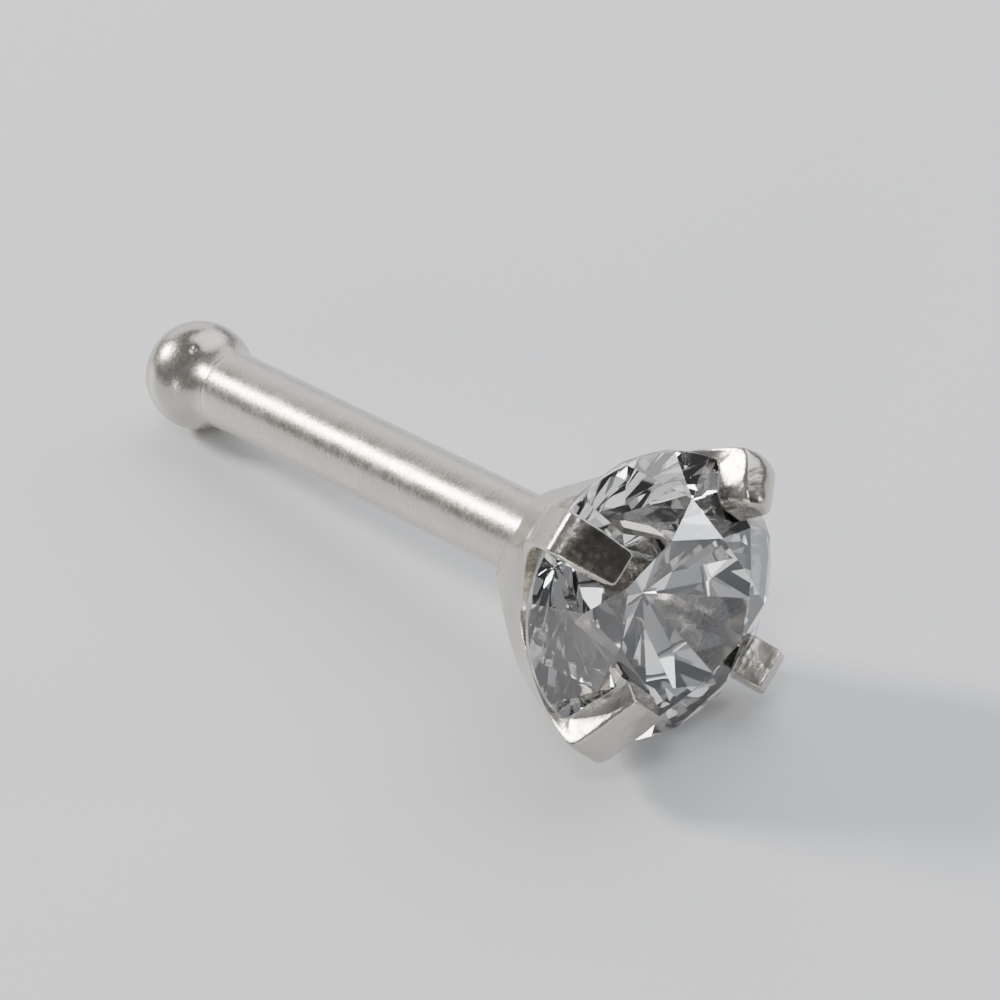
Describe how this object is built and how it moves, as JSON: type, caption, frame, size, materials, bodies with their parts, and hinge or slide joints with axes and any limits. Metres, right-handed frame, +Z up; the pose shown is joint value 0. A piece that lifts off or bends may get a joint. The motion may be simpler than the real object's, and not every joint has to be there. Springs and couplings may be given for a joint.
{
  "type": "nose stud",
  "caption": "Straight nose stud with a ball end on its post and a pronged cup setting that holds one clear round brilliant-cut stone.",
  "frame": {"origin": "on the surface that the stud lies on, under the middle of its bounding box", "axes": "+Z up; +X along the stud from the ball end to the stone, whose axis rises about 6 degrees towards the stone as it lies"},
  "size_m": [0.0088, 0.0028, 0.0028],
  "materials": {
    "stud_metal": "satin steel, a little brighter and finely pitted on the setting",
    "stone": "clear polished facets"
  },
  "bodies": {
    "root": {"stud_metal": "stud_metal", "stone": "stone"}
  },
  "joints": []
}
